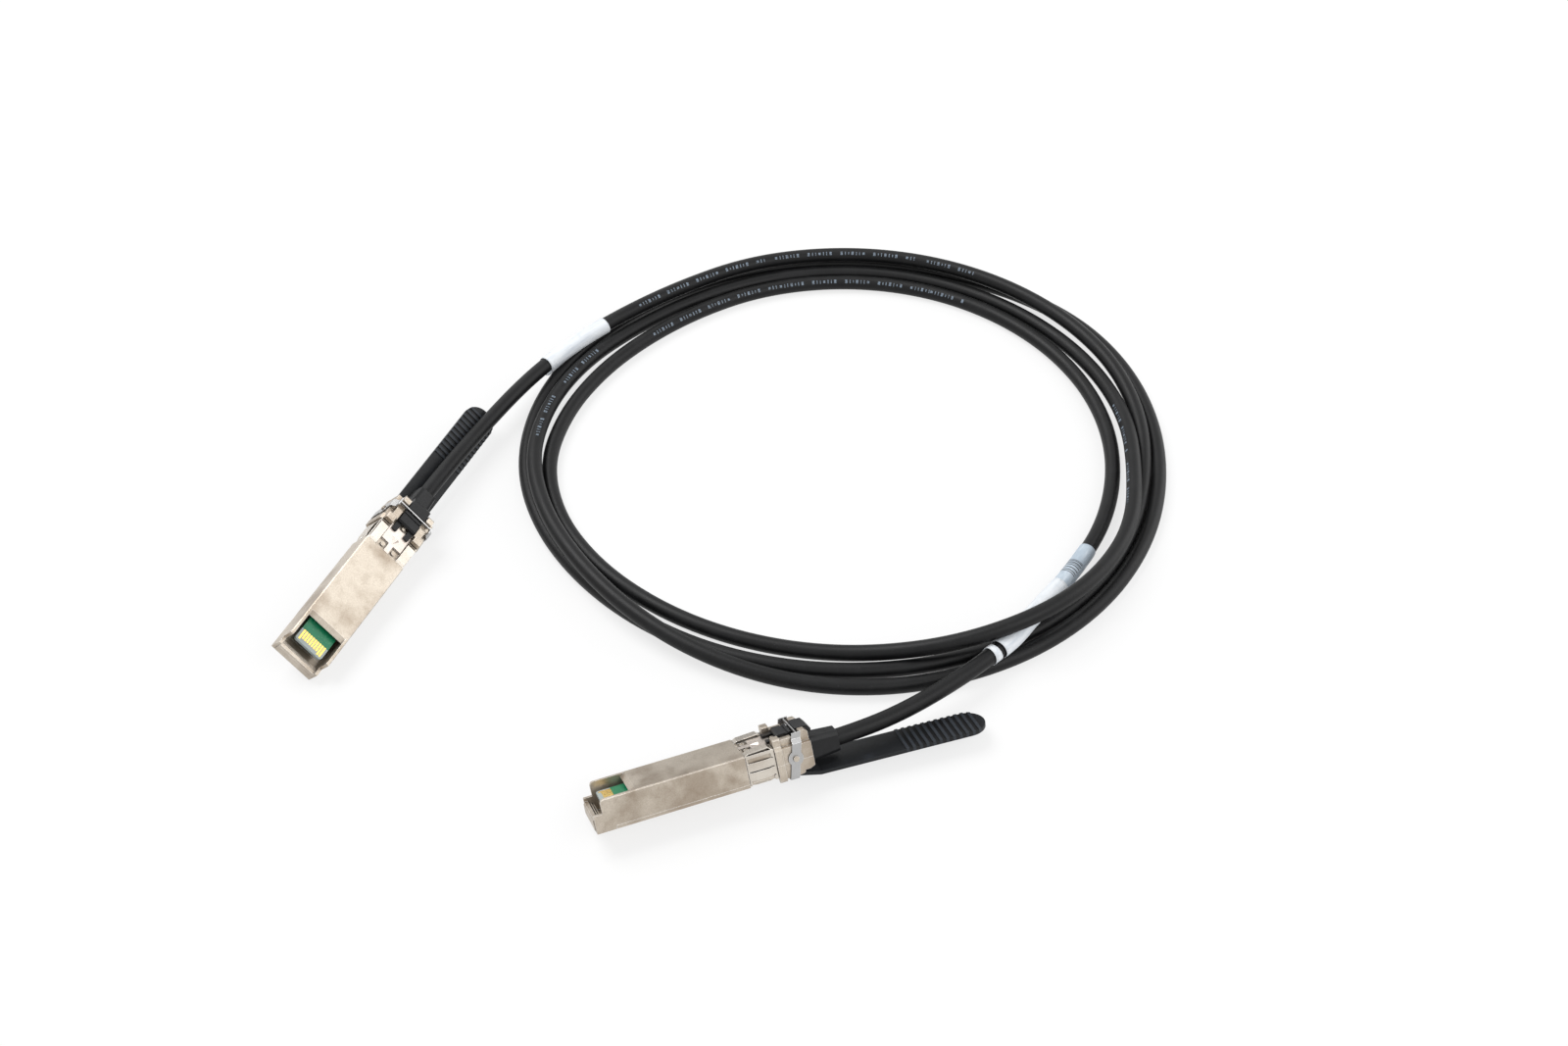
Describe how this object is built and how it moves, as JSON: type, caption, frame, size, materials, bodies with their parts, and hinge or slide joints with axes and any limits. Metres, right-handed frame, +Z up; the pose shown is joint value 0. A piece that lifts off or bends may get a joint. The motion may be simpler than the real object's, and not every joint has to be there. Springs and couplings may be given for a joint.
{
  "type": "direct attach copper cable",
  "caption": "Coiled black network cable with a metal plug at each end; each plug has a card edge, sprung collar, latch boss, bail and pull strap.",
  "frame": {"origin": "on the surface that the cable lies on, below the centre of the box round the two plugs", "axes": "+Z up, +X to the right and +Y away from the viewer who sees both noses pointing towards them"},
  "size_m": [0.2469, 0.2355, 0.0176],
  "materials": {
    "die_cast_metal": "satin nickel plating on a zinc casting",
    "spring_sheet": "satin stainless sheet",
    "latch_sheet": "satin sheet",
    "bail_sheet": "smooth grey sheet",
    "crimp_metal": "plain",
    "black_moulding": "matte",
    "black_plastic": "matte",
    "strap_rubber": "soft matte",
    "green_laminate": "glossy solder mask",
    "gold": "plated",
    "chip_resin": "matte",
    "foil_pairs": "foil",
    "cable_jacket": "matte jacket with a soft sheen",
    "label_film": "matte film"
  },
  "bodies": {
    "root": {"boot_a": "black_moulding", "boot_b": "black_moulding", "cable_coil": "cable_jacket", "cable_tail_a": "cable_jacket", "cable_tail_b": "cable_jacket", "card_a": "green_laminate", "card_b": "green_laminate", "contacts_a": "gold", "contacts_b": "gold", "crimp_ring_a": "crimp_metal", "crimp_ring_b": "crimp_metal", "housing_a": "die_cast_metal", "housing_b": "die_cast_metal", "inner_pairs_a": "foil_pairs", "inner_pairs_b": "foil_pairs", "label_a": "label_film", "label_b": "label_film", "latch_plate_a": "latch_sheet", "latch_plate_b": "latch_sheet", "lid_a": "die_cast_metal", "lid_b": "die_cast_metal", "memory_chip_a": "chip_resin", "memory_chip_b": "chip_resin", "spring_collar_a": "spring_sheet", "spring_collar_b": "spring_sheet"},
    "bail_body_a": {"bail_a": "bail_sheet"},
    "slider_body_a": {"slider_a": "black_plastic"},
    "strap_body_a": {"pull_strap_a": "strap_rubber"},
    "bail_body_b": {"bail_b": "bail_sheet"},
    "slider_body_b": {"slider_b": "black_plastic"},
    "strap_body_b": {"pull_strap_b": "strap_rubber"}
  },
  "joints": [
    {"name": "slider_travel_a", "type": "slide", "parent": "root", "child": "slider_body_a", "axis": [-0.4066, -0.9133, -0.0209], "range_m": [0, 0.0015], "stiffness_N_per_m": 250},
    {"name": "bail_swing_a", "type": "hinge", "parent": "root", "child": "bail_body_a", "pos_m": [-0.06522, 0.0269, 0.00886], "axis": [0.6553, -0.2757, -0.7032], "range_deg": [0, 14]},
    {"name": "strap_eye_a", "type": "hinge", "parent": "bail_body_a", "child": "strap_body_a", "pos_m": [-0.06902, 0.02736, 0.00514], "axis": [0.6553, -0.2757, -0.7032], "range_deg": [-14, 0]},
    {"name": "slider_travel_b", "type": "slide", "parent": "root", "child": "slider_body_b", "axis": [-0.939, -0.3436, -0.014], "range_m": [0, 0.0015], "stiffness_N_per_m": 250},
    {"name": "bail_swing_b", "type": "hinge", "parent": "root", "child": "bail_body_b", "pos_m": [0.04261, -0.05096, 0.00821], "axis": [0.2868, -0.8049, 0.5195], "range_deg": [0, 14]},
    {"name": "strap_eye_b", "type": "hinge", "parent": "bail_body_b", "child": "strap_body_b", "pos_m": [0.04247, -0.05389, 0.00376], "axis": [0.2868, -0.8049, 0.5195], "range_deg": [-14, 0]}
  ],
  "couplings": [
    {"joint": "bail_swing_a", "follows": "slider_travel_a", "rad_per_m": 162.9},
    {"joint": "strap_eye_a", "follows": "slider_travel_a", "rad_per_m": -162.9},
    {"joint": "bail_swing_b", "follows": "slider_travel_b", "rad_per_m": 162.9},
    {"joint": "strap_eye_b", "follows": "slider_travel_b", "rad_per_m": -162.9}
  ]
}
